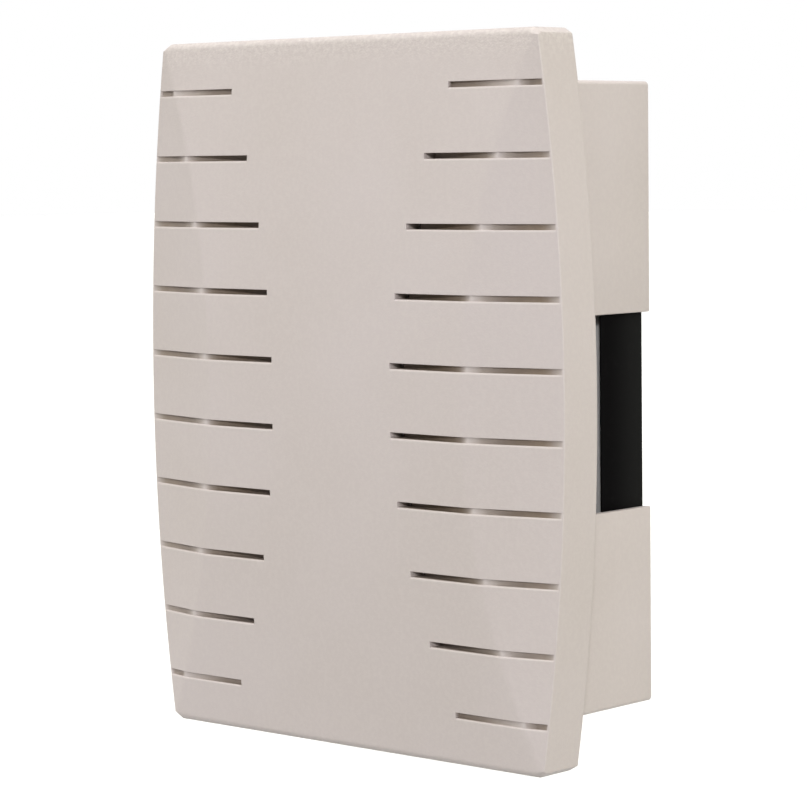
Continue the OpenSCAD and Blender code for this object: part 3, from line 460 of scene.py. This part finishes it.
def coverPlate():
    s = coverSet
    rows, centres = coverRows()
    points, faces = [], []
    width = 2 * len(coverColumns(0, 0, False)) - 1
    outer = np.zeros((len(rows), width), int)
    inner = np.zeros((len(rows), width), int)
    half = width // 2
    normals, ramp = {}, {}
    firstFloor, lastRamp, grooveAt = 12, 26, 29  # columns of coverColumns
    for r, (z, rowDeep, slot, kind) in enumerate(rows):
        slotZ = centres[slot] if slot is not None else z
        blind = slot in (0, s["slots"] - 1)
        places = coverColumns(z, slotZ, kind == "floor")
        for c in range(width):
            k = abs(c - half)
            x, colDeep = places[k]
            side = 1 if c >= half else -1
            full = slotDepth(x, slotZ, blind) if slot is not None and colDeep else 0.0
            depth = min(rowDeep, colDeep, full)
            ramp[r, c] = full if k >= firstFloor else slotDepth(places[firstFloor][0], slotZ, blind)
            at = z
            if rowDeep == anyDepth and z != slotZ:  # keeps the floor's rows apart where it is shallow
                at = slotZ + (z - slotZ) * (1 - 0.34 * (1 - min(max((full - s["lipLow"]) / 0.4, 0), 1)))
            y = faceY(x, at) + depth
            px, pz, out, gap = rounded(side * x, at, s["corner"])
            outer[r, c] = len(points)
            normals[r, c] = (*out, gap)
            points.append((px, y, pz))
    ringKeys = [(0, c) for c in range(width)] + [(r, width - 1) for r in range(1, len(rows))]
    ringKeys += [(len(rows) - 1, c) for c in range(width - 2, -1, -1)]
    ringKeys += [(r, 0) for r in range(len(rows) - 2, 0, -1)]
    back, rim = s["backRound"], -s["rimBack"]
    loops = [[outer[k] for k in ringKeys]]
    start = [points[outer[k]] for k in ringKeys]
    outs = [normals[k] for k in ringKeys]

    def ring(way, yOf):  # each point goes out from the face's edge, whose rounding is as large as its gap
        loop = []
        for (x, y, z), (nx, nz, gap) in zip(start, outs):
            loop.append(len(points))
            points.append((x + nx * way(gap), yOf(y, gap), z + nz * way(gap)))
        loops.append(loop)

    for k in range(1, 7):
        a = math.radians(15 * k)
        ring(lambda gap, a=a: gap * math.sin(a), lambda y, gap, a=a: y + gap * (1 - math.cos(a)))
    ring(lambda gap: gap, lambda y, gap: y + gap + 0.3)
    ring(lambda gap: gap, lambda y, gap: (y + rim) / 2)
    ring(lambda gap: gap, lambda y, gap: rim - back - 0.3)
    for k in range(4):
        a = math.radians(30 * k)
        ring(lambda gap, a=a: gap - back * (1 - math.cos(a)), lambda y, gap, a=a: rim - back * (1 - math.sin(a)))
    ring(lambda gap: gap - s["wall"] + 0.2, lambda y, gap: rim)
    ring(lambda gap: gap - s["wall"], lambda y, gap: rim - 0.2)
    innerFrom, innerTall, gridTall = s["insideFrom"], s["tall"] - s["wall"], s["tall"] - s["topRound"]
    for r, (z, rowDeep, slot, kind) in enumerate(rows):  # the inside of the plate
        for c in range(width):
            x, y, pz = points[outer[r, c]]
            k = abs(c - half)
            at = pz
            if abs(z) > innerFrom:
                past = (abs(z) - innerFrom) * (innerTall - innerFrom) / (gridTall - innerFrom)
                at = math.copysign(innerFrom + past, z)
            places = coverColumns(z, centres[slot] if slot is not None else z, kind == "floor")
            px = places[k][0]
            groove = places[grooveAt][0]
            if px > groove:
                px = groove + (px - groove) * (edgeX(at, s["wall"]) - groove) / (edgeX(z, s["sideRound"]) - groove)
            px = math.copysign(px, c - half) if c != half else 0.0
            deep = faceY(px, at, s["wall"])
            if slot in range(1, s["slots"] - 1) and k <= lastRamp:  # a ramp's own wall stands proud inside
                mid, wall = centres[slot], s["rampWall"]
                if firstFloor - 5 <= k < firstFloor:
                    lead = (wall + 0.02, wall, 0.7 * wall, 0.4 * wall, 0.15 * wall)[k - firstFloor + 5]
                    px = math.copysign(slotStart(mid) - lead, c - half)
                if kind in ("plain", "edge"):
                    at = mid + math.copysign(s["slotHigh"] / 2 + wall + (0.02 if kind == "plain" else 0.0), z - mid)
                deep = faceY(px, at, s["wall"])
                if k >= firstFloor - 4 and kind != "plain":
                    deep = max(deep, faceY(px, mid) + ramp[r, c] + wall)
            inner[r, c] = len(points)
            points.append((px, deep, at))
    for key, last in zip(ringKeys, loops[-1]):  # the inside meets the rim's own wall
        x, y, z = points[last]
        points[inner[key]] = (x, faceY(x, z, s["wall"]), z)
    loops.append([inner[k] for k in ringKeys])
    for r in range(len(rows) - 1):
        slot = rows[r][2]
        through = slot is not None and slot == rows[r + 1][2] and rows[r][3] == rows[r + 1][3] == "floor"
        through = through and slot in s["openRows"]
        for c in range(width - 1):
            k = min(abs(c - half), abs(c + 1 - half))
            if through and k == firstFloor:  # the ramp's deep end is open
                if rows[r - 1][3] != "floor":
                    edge = [(r, c), (r, c + 1), (r + 1, c + 1), (r + 2, c + 1), (r + 2, c), (r + 1, c)]
                    for a, b in zip(edge, edge[1:] + edge[:1]):
                        faces.append((outer[a], outer[b], inner[b], inner[a]))
                continue
            faces.append((outer[r, c], outer[r, c + 1], outer[r + 1, c + 1], outer[r + 1, c]))
            faces.append((inner[r, c], inner[r + 1, c], inner[r + 1, c + 1], inner[r, c + 1]))
    for one, two in zip(loops, loops[1:]):
        n = len(one)
        for i in range(n):
            j = (i + 1) % n
            faces.append((one[j], one[i], two[i], two[j]))
    return points, faces


def coverBox():  # the deep part behind the plate, with its two side openings
    s = coverSet
    half, top, low, wall = s["boxHalf"], s["boxTop"], s["boxLow"], s["wall"]
    heights = [-60, -45, s["notchLow"], -14, 4, s["notchTop"], 40, 60]  # up each side

    def outline(inset, r):
        h, t, b = half - inset, top - inset, low + inset
        angles = [math.radians(a) for a in range(0, 91, 15)]
        turn = [(r * (1 - math.cos(a)), r * (1 - math.sin(a))) for a in angles]
        loop = [(h - dx, t - dz) for dx, dz in turn]
        loop += [(x, t) for x in (40, 20, 0, -20, -40)]
        loop += [(-h + dx, t - dz) for dx, dz in reversed(turn)]
        loop += [(-h, z) for z in reversed(heights)]
        loop += [(-h + dx, b + dz) for dx, dz in turn]
        loop += [(x, b) for x in (-40, -20, 0, 20, 40)]
        loop += [(h - dx, b + dz) for dx, dz in reversed(turn)]
        loop += [(h, z) for z in heights]
        return loop

    loops = [outline(0, s["boxCorner"]), outline(wall, 0.4)]
    depths = [-s["boxBack"], -14.0, -s["notchFront"], -37.0, -44.0, None]
    points, grid = [], []
    for loop in loops:
        sheet = []
        for depth in depths:
            sheet.append([])
            for x, z in loop:
                sheet[-1].append(len(points))
                points.append((x, faceY(x, z, wall) - 0.4 if depth is None else depth, z))
        grid.append(sheet)
    n = len(loops[0])
    base = loops[0]

    def cut(i):  # a side opening spans this step of the loop
        (x0, z0), (x1, z1) = base[i], base[(i + 1) % n]
        return x0 == x1 and min(z0, z1) >= s["notchLow"] and max(z0, z1) <= s["notchTop"]

    faces = []
    out, inn = grid
    for i in range(n):
        j = (i + 1) % n
        first = 2 if cut(i) else 0
        for d in range(first, len(depths) - 1):
            faces.append((out[d][i], out[d][j], out[d + 1][j], out[d + 1][i]))
            faces.append((inn[d][j], inn[d][i], inn[d + 1][i], inn[d + 1][j]))
        faces.append((out[first][j], out[first][i], inn[first][i], inn[first][j]))
        faces.append((out[-1][i], out[-1][j], inn[-1][j], inn[-1][i]))
        if cut(i) != cut(j):
            for d in (0, 1):
                faces.append((out[d][j], inn[d][j], inn[d + 1][j], out[d + 1][j]))
    return points, faces


def meshOf(name, points, faces):
    mesh = bpy.data.meshes.new(name)
    mesh.from_pydata([tuple(c * mm for c in p) for p in points], [], [tuple(int(i) for i in f) for f in faces])
    return mesh


def cleaned(mesh, gap=1e-6):  # doubles joined, loose points dropped, faces turned outwards
    work = bmesh.new()
    work.from_mesh(mesh)
    bmesh.ops.remove_doubles(work, verts=work.verts, dist=gap)
    bmesh.ops.dissolve_degenerate(work, dist=gap, edges=work.edges)
    bmesh.ops.delete(work, geom=[v for v in work.verts if not v.link_faces], context="VERTS")
    bmesh.ops.recalc_face_normals(work, faces=work.faces)
    work.to_mesh(mesh)
    work.free()
    return mesh


edgeSet = {"sharpFrom": 40, "shadeFrom": 32, "flatUnder": 0.6, "joinGap": 0.002}  # degrees, and mm


def eased(mesh, name, width, segments=2):  # a fine radius on sharp edges
    host = bpy.data.objects.new(name, mesh)
    scene.collection.objects.link(host)
    ease = host.modifiers.new("edgeRadius", "BEVEL")
    ease.width, ease.segments = width * mm, segments
    ease.limit_method, ease.angle_limit = "ANGLE", math.radians(edgeSet["sharpFrom"])
    ease.use_clamp_overlap = True
    ease.miter_outer = "MITER_ARC"
    return baked(host, name)


def evened(mesh, name):  # broad faces stay flat beside their rounded edges
    host = bpy.data.objects.new(name, mesh)
    scene.collection.objects.link(host)
    host.modifiers.new("evenNormals", "WEIGHTED_NORMAL").keep_sharp = True
    return baked(host, name)


def joined(name, *meshes):
    work = bmesh.new()
    for mesh in meshes:
        work.from_mesh(mesh)
    whole = bpy.data.meshes.new(name)
    work.to_mesh(whole)
    work.free()
    return whole


def paintSlotShade(mesh):  # how much painted shade darkens each point of a slot
    s = coverSet
    marks, centres = [], slotCentres()
    for v in mesh.vertices:
        x, y, z = abs(v.co.x) / mm, v.co.y / mm, v.co.z / mm
        i = min(max(round(z / s["pitch"] + (s["slots"] - 1) / 2), 0), s["slots"] - 1)
        mid = centres[i]
        full = slotDepth(x, mid, i in (0, s["slots"] - 1))
        deep = y - faceY(x, z)
        inside = slotStart(mid) - 0.05 < x < edgeX(z, 0.5) and abs(z - mid) < s["slotHigh"] / 2 + 0.03
        if not inside or deep > full + 0.06:
            marks.append(0.0)
            continue
        crease, side = creaseX(mid), int(v.co.x > 0)
        level = np.interp(full, s["shadeDepths"], s["shadeByDepth"]) * s["sideShades"][side]
        if x > ridgeX(mid):
            along = (x - crease) / (edgeX(mid) - crease)
            level = np.interp(along, s["wingShadePlaces"], s["wingShade"]) * s["wingShades"][side]
        level *= np.interp(mid, s["rowShades"], s["rowShadeShare"])
        marks.append(level * min(max((deep - 0.1) / 0.3, 0), 1))
    mesh.attributes.new("slotDust", "FLOAT", "POINT").data.foreach_set("value", marks)


plate = cleaned(meshOf("coverPlate", *coverPlate()))
hood = cleaned(meshOf("coverBox", *coverBox()))
hood = eased(hood, "coverBox", coverSet["boxEdge"], 3)
coverMesh = smoothed(joined("coverShell", plate, hood), coverSet["shadeFrom"])
paintSlotShade(coverMesh)
settle("coverShell", coverMesh, "cover_plastic", "cover_body", "cover")
print("cover:", len(coverMesh.polygons), "faces")


def treeNode(tree, kind, **inputs):  # a node with its inputs set or linked
    made = tree.nodes.new(kind)
    for key, value in inputs.items():
        socket = made.inputs[key.replace("_", " ")]
        if isinstance(value, bpy.types.NodeSocket):
            tree.links.new(value, socket)
        else:
            socket.default_value = value
    return made


def openTree(name, **inputs):  # an empty tree with its named inputs
    tree = bpy.data.node_groups.new(name, "GeometryNodeTree")
    tree.interface.new_socket("Geometry", in_out="OUTPUT", socket_type="NodeSocketGeometry")
    for label, kind in inputs.items():
        tree.interface.new_socket(label, in_out="INPUT", socket_type="NodeSocket" + kind)
    return tree, tree.nodes.new("NodeGroupInput").outputs


def closeTree(tree, mesh, finish):  # ends a tree in a plain mesh with its material
    real = treeNode(tree, "GeometryNodeRealizeInstances", Geometry=mesh)
    last = treeNode(tree, "GeometryNodeSetMaterial", Geometry=real.outputs[0], Material=finish)
    treeNode(tree, "NodeGroupOutput", Geometry=last.outputs[0])
    return tree


def wireSpiral():  # wire wound round the X axis, from a start place
    tree, given = openTree("wireSpiral", Radius="Float", Length="Float", Turns="Float", Wire="Float", Steps="Int",
                           Sides="Int", Start="Vector", Finish="Material")
    spiral = treeNode(tree, "GeometryNodeCurveSpiral", Resolution=given["Steps"], Rotations=given["Turns"],
                      Start_Radius=given["Radius"], End_Radius=given["Radius"], Height=given["Length"])
    upright = treeNode(tree, "GeometryNodeSetCurveNormal", Curve=spiral.outputs[0])
    upright.mode = "Z_UP"  # every turn's facets lie alike
    ring = treeNode(tree, "GeometryNodeCurvePrimitiveCircle", Resolution=given["Sides"], Radius=given["Wire"])
    wire = treeNode(tree, "GeometryNodeCurveToMesh", Curve=upright.outputs[0], Profile_Curve=ring.outputs[0],
                    Fill_Caps=True)
    laid = treeNode(tree, "GeometryNodeTransform", Geometry=wire.outputs[0], Translation=given["Start"],
                    Rotation=(0, math.pi / 2, 0))
    return closeTree(tree, laid.outputs[0], given["Finish"])


def grown(tree, name, host=None, **inputs):  # runs a tree with its named inputs and keeps the mesh
    if host is None:
        host = bpy.data.objects.new(name, bpy.data.meshes.new(name))
    scene.collection.objects.link(host)
    modifier = host.modifiers.new(name, "NODES")
    modifier.node_group = tree
    for item in tree.interface.items_tree:
        if item.in_out == "INPUT" and item.name in inputs:
            modifier[item.identifier] = inputs[item.name]
    return baked(host, name)


wireTree = wireSpiral()
unitSet = {"axisDeep": 26.4, "places": {"front": 18.0, "rear": -18.0}}
coilSet = {"half": 15.5, "radius": 11.5, "bore": 5.55, "wire": 0.26, "turns": 58, "steps": 40, "sides": 10,
           "clear": 0.05, "shadeFrom": 45}
springSet = {"left": -37.0, "right": -20.5, "radius": 4.9, "wire": 0.35, "turns": 8.0, "steps": 40, "sides": 10,
             "clear": 0.05, "travel": 9.0, "shadeFrom": 60}


def turnedOnX(name, profile, centre, steps=64):  # a profile of (x, radius) swept round the X axis
    points, faces = [], []
    n = len(profile)
    for k in range(steps):
        a = 2 * math.pi * k / steps
        for x, r in profile:
            points.append((x, centre[0] + r * math.cos(a), centre[1] + r * math.sin(a)))
    for k in range(steps):
        for i in range(n):
            j = (i + 1) % n
            m = (k + 1) % steps
            faces.append((k * n + i, k * n + j, m * n + j, m * n + i))
    return cleaned(meshOf(name, points, faces))


def wound(name, s, radius, run, start, slot):  # one wire of a coil or a spring
    return grown(wireTree, name, Radius=radius * mm, Length=run * mm, Turns=s["turns"], Wire=s["wire"] * mm,
                 Steps=s["steps"], Sides=s["sides"], Start=tuple(c * mm for c in start), Finish=finishes[slot])


for side, z in unitSet["places"].items():
    s, deep = coilSet, -unitSet["axisDeep"]
    run = 2 * s["half"] - 2 * s["wire"] - 2 * s["clear"]
    turns = wound(side + "Winding", s, s["radius"] - s["wire"], run, (-run / 2, deep, z), "coil_copper")
    end, under = s["half"] - s["clear"], s["radius"] - 1.2 * s["wire"]
    core = turnedOnX(side + "Core", [(-end, s["bore"]), (end, s["bore"]), (end, under), (-end, under)], (deep, z))
    winding = smoothed(joined(side + "Winding", turns, core), s["shadeFrom"])
    settle(side + "Winding", winding, "coil_copper", "base", side + "_coil")
    s = springSet
    run = s["right"] - s["left"] - 2 * s["wire"] - 2 * s["clear"]
    start = (s["left"] + s["wire"] + s["clear"], deep, z)
    spring = wound(side + "SpringWire", s, s["radius"], run, start, "spring_steel")
    spring = smoothed(spring, s["shadeFrom"])
    piece = settle(side + "SpringWire", spring, "spring_steel", "base", side + "_spring")
    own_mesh(piece)
print("coils and springs wound")


def leadSleeve():  # a round sleeve along a drawn route
    tree, given = openTree("leadSleeve", Geometry="Geometry", Radius="Float", Sides="Int", Finish="Material")
    ring = treeNode(tree, "GeometryNodeCurvePrimitiveCircle", Resolution=given["Sides"], Radius=given["Radius"])
    sleeve = treeNode(tree, "GeometryNodeCurveToMesh", Curve=given["Geometry"], Profile_Curve=ring.outputs[0],
                      Fill_Caps=True)
    return closeTree(tree, sleeve.outputs[0], given["Finish"])


leadTree = leadSleeve()
frontRun = [[0, 0.04, 0.044], [0.03, 0.19, 0.061], [0.09, 0.45, 0.061], [0.2, 0.71, 0.061], [0.43, 0.91, 0.07],
            [0.71, 0.99, 0.105], [0.94, 1, 0.211], [1, 1, 0.368], [1, 1, 0.579], [1, 1, 0.789]]
leadSet = {
    "radius": 0.6, "sides": 12, "near": 26.4, "floor": 3.4, "solder": -54.0, "tabX": 15.5, "tabDrop": 1.8,
    "blockNear": 8.0, "blockDeep": 14.0, "shadeFrom": 60,
    "routes": {  # side, hand, tab height, lane, end, then shares across, back to the floor and down to the block
        "frontLeft": ("front", -1, 3.0, -34.875, -17.0, frontRun + [
            [1.09, 1, 0.895], [1.31, 1, 0.965], [1.62, 0.987, 0.996], [1.88, 0.909, 1]]),
        "frontRight": ("front", 1, 3.0, 34.875, 1.2, frontRun + [
            [1.05, 1, 0.895], [1.19, 1, 0.965], [1.41, 1, 0.99], [1.66, 1, 0.993], [1.85, 0.99, 0.996],
            [1.96, 0.91, 1]]),
        "rearLeft": ("rear", -1, -33.0, None, -1.2, [
            [0.035, 0.061, 0.19], [0.077, 0.235, 0.381], [0.147, 0.496, 0.571], [0.273, 0.73, 0.762],
            [0.483, 0.887, 0.924], [0.734, 0.939, 0.99], [0.916, 0.896, 1]]),
        "rearRight": ("rear", 1, -33.0, None, 17.0, [
            [0.067, 0.061, 0.19], [0.2, 0.235, 0.381], [0.467, 0.496, 0.571], [0.733, 0.713, 0.743],
            [0.867, 0.835, 0.876], [1, 0.878, 0.971]]),
    },
}


def leadRoute(hand, tabZ, lane, end, shares):
    s = leadSet
    tab = hand * s["tabX"]

    def across(k):
        if lane is None:
            return tab + (end - tab) * k
        return tab + (lane - tab) * k if k <= 1 else lane + (end - lane) * (k - 1)

    route = [(tab, -s["near"], tabZ), (tab, -s["near"], tabZ - s["tabDrop"])]
    route += [(across(a), -(s["near"] + (s["floor"] - s["near"]) * d), tabZ + (s["solder"] - tabZ) * h)
              for a, d, h in shares]
    return route + [(end, -s["blockNear"], s["solder"]), (end, -s["blockDeep"], s["solder"])]


def flowing(route, fine=6):  # a smooth curve through every point of a route
    p = [Vector(q) for q in [route[0]] + route + [route[-1]]]
    line = []
    for a, b, c, d in zip(p, p[1:], p[2:], p[3:]):
        for k in range(fine):
            t = k / fine
            line.append(0.5 * (2 * b + (c - a) * t + (2 * a - 5 * b + 4 * c - d) * t * t
                               + (3 * b - a - 3 * c + d) * t ** 3))
    return line + [p[-1]]


def leadMesh(name, route, slot):
    path = flowing(route)
    curve = bpy.data.curves.new(name, "CURVE")
    curve.dimensions = "3D"
    line = curve.splines.new("POLY")
    line.points.add(len(path) - 1)
    for point, at in zip(line.points, path):
        point.co = (*(at * mm), 1)
    host = bpy.data.objects.new(name, curve)
    return grown(leadTree, name, host, Radius=leadSet["radius"] * mm, Sides=leadSet["sides"], Finish=finishes[slot])


for side, slot in (("front", "red_insulation"), ("rear", "white_insulation")):
    routes = {name: given[1:] for name, given in leadSet["routes"].items() if given[0] == side}
    sleeves = [leadMesh(name, leadRoute(*given), slot) for name, given in routes.items()]
    leads = smoothed(joined(side + "Leads", *sleeves), leadSet["shadeFrom"])
    settle(side + "Leads", leads, slot, "base", side + "_coil_leads")
print("leads laid")


def softened(node, radius):  # a merged copy of a rigid node with a fine edge radius
    s = edgeSet
    work = bmesh.new()
    work.from_mesh(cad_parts[node].data)
    bmesh.ops.remove_doubles(work, verts=work.verts, dist=s["joinGap"] * mm)
    bmesh.ops.dissolve_limit(work, angle_limit=math.radians(s["flatUnder"]), verts=work.verts, edges=work.edges)
    mesh = bpy.data.meshes.new(node)
    work.to_mesh(mesh)
    work.free()
    return evened(smoothed(eased(mesh, node, radius), s["shadeFrom"]), node)


moulded = {  # node: body, finish, edge radius in mm
    "base_tray": ("base", "tray_plastic", 0.22),
    "left_tone_bar": ("base", "bar_metal", 0.3),
    "right_tone_bar": ("base", "bar_metal", 0.3),
    "tone_bar_grommets": ("base", "grommet_rubber", 0.35),
    "tone_bar_screws": ("base", "plated_screw", 0.18),
    "front_yoke": ("base", "yoke_steel", 0.2),
    "rear_yoke": ("base", "yoke_steel", 0.2),
    "front_bobbin": ("base", "bobbin_nylon", 0.2),
    "rear_bobbin": ("base", "bobbin_nylon", 0.2),
    "front_plunger": ("front_striker", "plunger_steel", 0.3),
    "rear_plunger": ("rear_striker", "plunger_steel", 0.3),
    "front_left_tip": ("front_striker", "tip_nylon", 0.25),
    "front_right_tip": ("front_striker", "tip_nylon", 0.25),
    "rear_left_tip": ("rear_striker", "tip_nylon", 0.25),
    "rear_right_tip": ("rear_striker", "tip_nylon", 0.25),
    "front_spring_clip": ("front_striker", "clip_steel", 0.12),
    "rear_spring_clip": ("rear_striker", "clip_steel", 0.12),
    "rear_bumper": ("base", "bumper_felt", 0.4),
    "yoke_screws": ("base", "plated_screw", 0.16),
    "terminal_block": ("base", "block_plastic", 0.3),
    "terminal_plates": ("base", "terminal_brass", 0.12),
    "terminal_screws": ("base", "plated_screw", 0.18),
}

for node, (body, slot, radius) in moulded.items():
    words = node.split("_")
    name = words[0] + "".join(w.capitalize() for w in words[1:])
    settle(name, softened(node, radius), slot, body, node)
print("rigid pieces finished:", len(moulded))


stageSet = {
    "floor": -0.24, "wide": 12.0, "bounce": 0.375, "dome": 0.125,
    "boxes": {  # soft boxes far away: turn, rise, half width in degrees, level, hue
        "top": (-10, 60, 26, 0.45, (1, 1, 1)),
        "ceiling": (0, 86, 24, 0.4, (1, 1, 1)),
        "key": (39.5, 18, 3.6, 0.42, (1, 1, 1)),
        "left": (-60, 28, 18, 0.185, (1, 1, 0.7)),
        "right": (107, 9, 16, 0.27, (1, 1, 0.82)),
        "rightHigh": (107, 40, 22, 0.19, (1, 1, 0.86)),
    },
}


def stageFloor(s):
    f = Finish("paleFloor")
    base = f.tint(f.seen(), (s["bounce"], s["bounce"], s["bounce"], 1), (1, 1, 1, 1))  # white where it is seen
    paint = f.add("ShaderNodeBsdfDiffuse", None, {"Color": base})
    clear = f.add("ShaderNodeBsdfTransparent")
    under = f.add("ShaderNodeNewGeometry", out="Backfacing")  # the floor only shows from above
    w, z = s["wide"], s["floor"]
    mesh = bpy.data.meshes.new("floor")
    mesh.from_pydata([(-w, -w, z), (w, -w, z), (w, w, z), (-w, w, z)], [], [(0, 1, 2, 3)])
    mesh.materials.append(f.done(f.add("ShaderNodeMixShader", None, {0: under, 1: paint, 2: clear})))
    floor = bpy.data.objects.new("floor", mesh)
    scene.collection.objects.link(floor)


def skyLight(s):  # an even dome with soft boxes in it, white where it is seen
    world = bpy.data.worlds.new("studio")
    scene.world = world
    f = Finish("studio", world)
    look = f.add("ShaderNodeTexCoord", out="Generated")
    glow = (s["dome"], s["dome"], s["dome"])
    for turn, rise, spread, level, hue in s["boxes"].values():
        turn, rise = math.radians(turn), math.radians(rise)
        aim = (math.sin(turn) * math.cos(rise), -math.cos(turn) * math.cos(rise), math.sin(rise))
        rim, core = math.cos(math.radians(spread)), math.cos(math.radians(spread / 2))
        near = f.add("ShaderNodeVectorMath", {"operation": "DOT_PRODUCT"}, {0: look, 1: aim}, out="Value")
        strength = level / (2 - rim - core)  # about the same light at any width
        light = f.add("ShaderNodeVectorMath", {"operation": "SCALE"},
                      {0: tuple(strength * c for c in hue), "Scale": f.fade(near, rim, core)})
        glow = f.add("ShaderNodeVectorMath", {"operation": "ADD"}, {0: glow, 1: light})
    lit = f.add("ShaderNodeBackground", None, {"Color": glow})
    white = f.add("ShaderNodeBackground", None, {"Color": (1, 1, 1, 1)})
    f.add("ShaderNodeOutputWorld", None,
          {"Surface": f.add("ShaderNodeMixShader", None, {0: f.seen(), 1: lit, 2: white})})


stageFloor(stageSet)
skyLight(stageSet)
print("stage lit")
